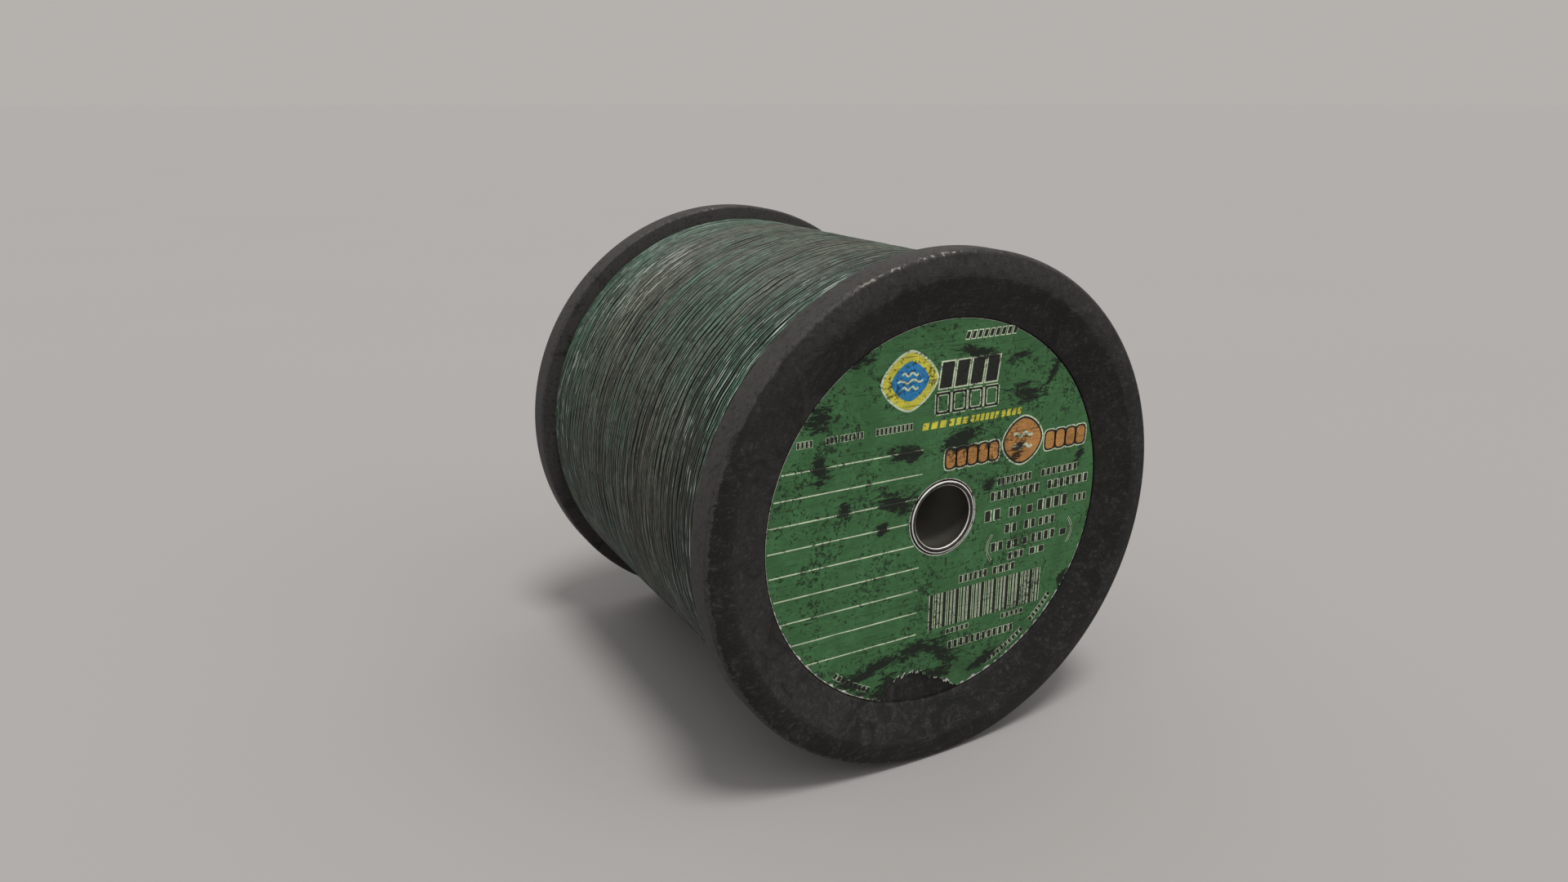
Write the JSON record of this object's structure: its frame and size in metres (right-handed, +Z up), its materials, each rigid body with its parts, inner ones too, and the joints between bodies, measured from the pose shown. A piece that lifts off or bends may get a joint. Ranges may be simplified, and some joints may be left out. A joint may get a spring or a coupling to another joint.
{
  "type": "fishing line spool",
  "caption": "Bulk fishing line spool: broad dished flanges with rounded rims on a drum wound full of braided line, a bored arbor, and a round paper label in each end.",
  "frame": {"origin": "on the floor under the middle of the spool, where it lies on its two rims", "axes": "+Y along the arbor bore from the front label to the rear one, so the front faces -Y; +Z up; +X to the right seen from the front"},
  "size_m": [0.1268, 0.1236, 0.1269],
  "materials": {
    "flange_plastic": "satin moulded black, scuffed and greyed at the edges",
    "barrel_plastic": "plain moulded black",
    "arbor_plastic": "smooth black, bright at the worn edges of the bore",
    "braided_line": "dark blue-green waxed braid with a fine sparkle",
    "front_paper": "printed green, satin, grimy and scratched",
    "rear_paper": "printed green, satin",
    "tape_paper": "plain masking tape"
  },
  "bodies": {
    "root": {"front_flange": "flange_plastic", "rear_flange": "flange_plastic", "barrel": "barrel_plastic", "arbor_tube": "arbor_plastic", "wound_line": "braided_line", "front_label": "front_paper", "rear_label": "rear_paper", "anchor_tape": "tape_paper"}
  },
  "joints": []
}
